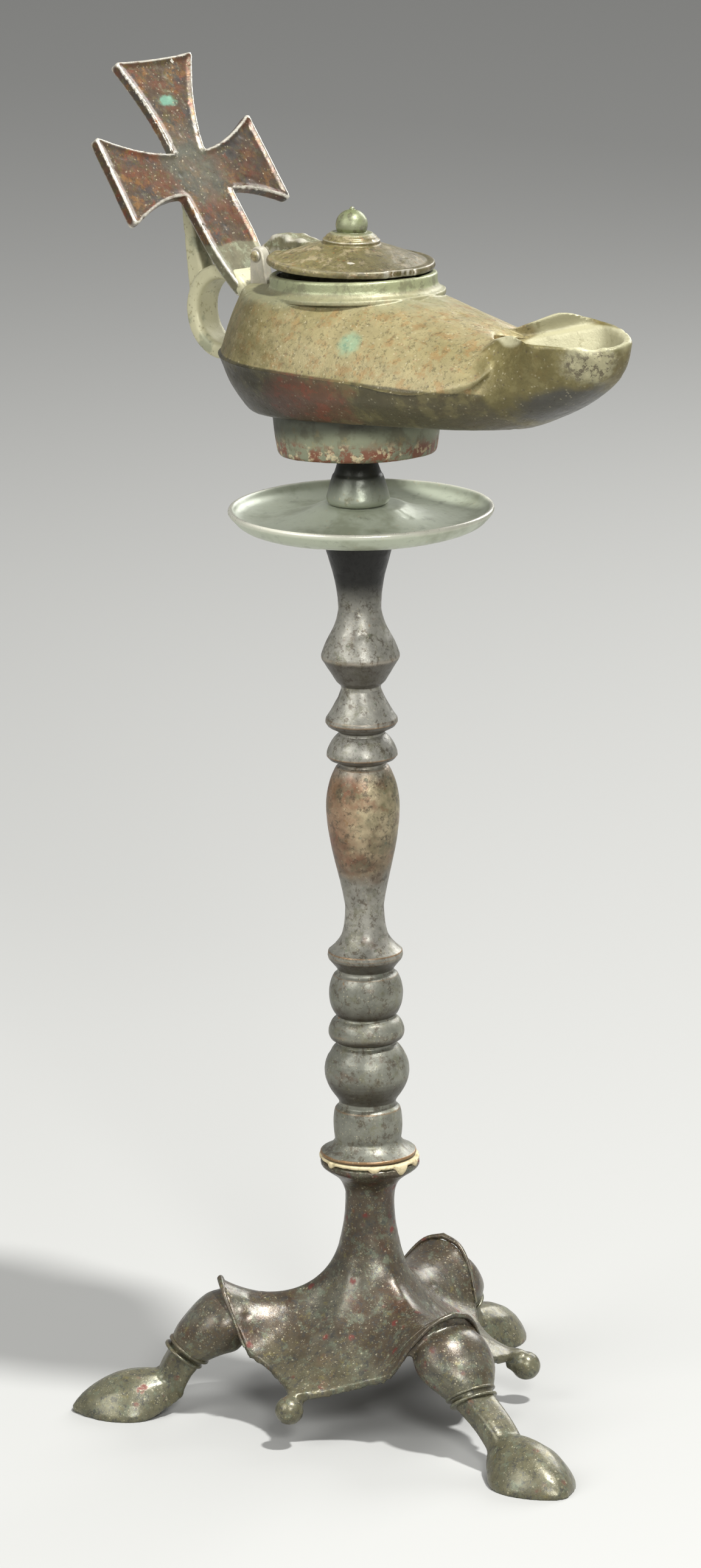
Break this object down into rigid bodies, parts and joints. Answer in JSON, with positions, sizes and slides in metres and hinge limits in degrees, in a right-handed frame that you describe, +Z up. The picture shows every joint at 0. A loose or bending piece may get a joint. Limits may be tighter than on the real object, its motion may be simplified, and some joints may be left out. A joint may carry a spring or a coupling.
{
  "type": "oil lamp on a tripod stand",
  "caption": "Late antique bronze oil lamp with a hinged lid and a cross-topped finger-ring handle, resting on the spike of a baluster lampstand with a drip pan and a tripod foot.",
  "frame": {"origin": "on the floor under the middle of the whole part", "axes": "+Z up, +X the way the lamp's nozzle points, +Y to the left of the nozzle"},
  "size_m": [0.2324, 0.1784, 0.4609],
  "materials": {
    "bronze_base": "patinated bronze, satin",
    "pale_fill": "matte",
    "bronze_shaft": "patinated bronze, satin",
    "bronze_pan": "patinated bronze, satin",
    "bronze_pricket": "patinated bronze, satin",
    "bronze_lamp": "patinated bronze, satin",
    "bronze_pin": "patinated bronze, satin",
    "bronze_lid": "patinated bronze, satin"
  },
  "bodies": {
    "stand": {"tripod_base": "bronze_base", "seating_fill": "pale_fill", "baluster_shaft": "bronze_shaft", "drip_pan": "bronze_pan", "pricket": "bronze_pricket", "lamp_body": "bronze_lamp", "hinge_pin": "bronze_pin"},
    "lid": {"lid": "bronze_lid"}
  },
  "joints": [
    {"name": "lid_hinge", "type": "hinge", "parent": "stand", "child": "lid", "pos_m": [-0.04783, -0.01059, 0.40121], "axis": [-0.0009, -0.9996, 0.0294], "range_deg": [0, 105]}
  ]
}
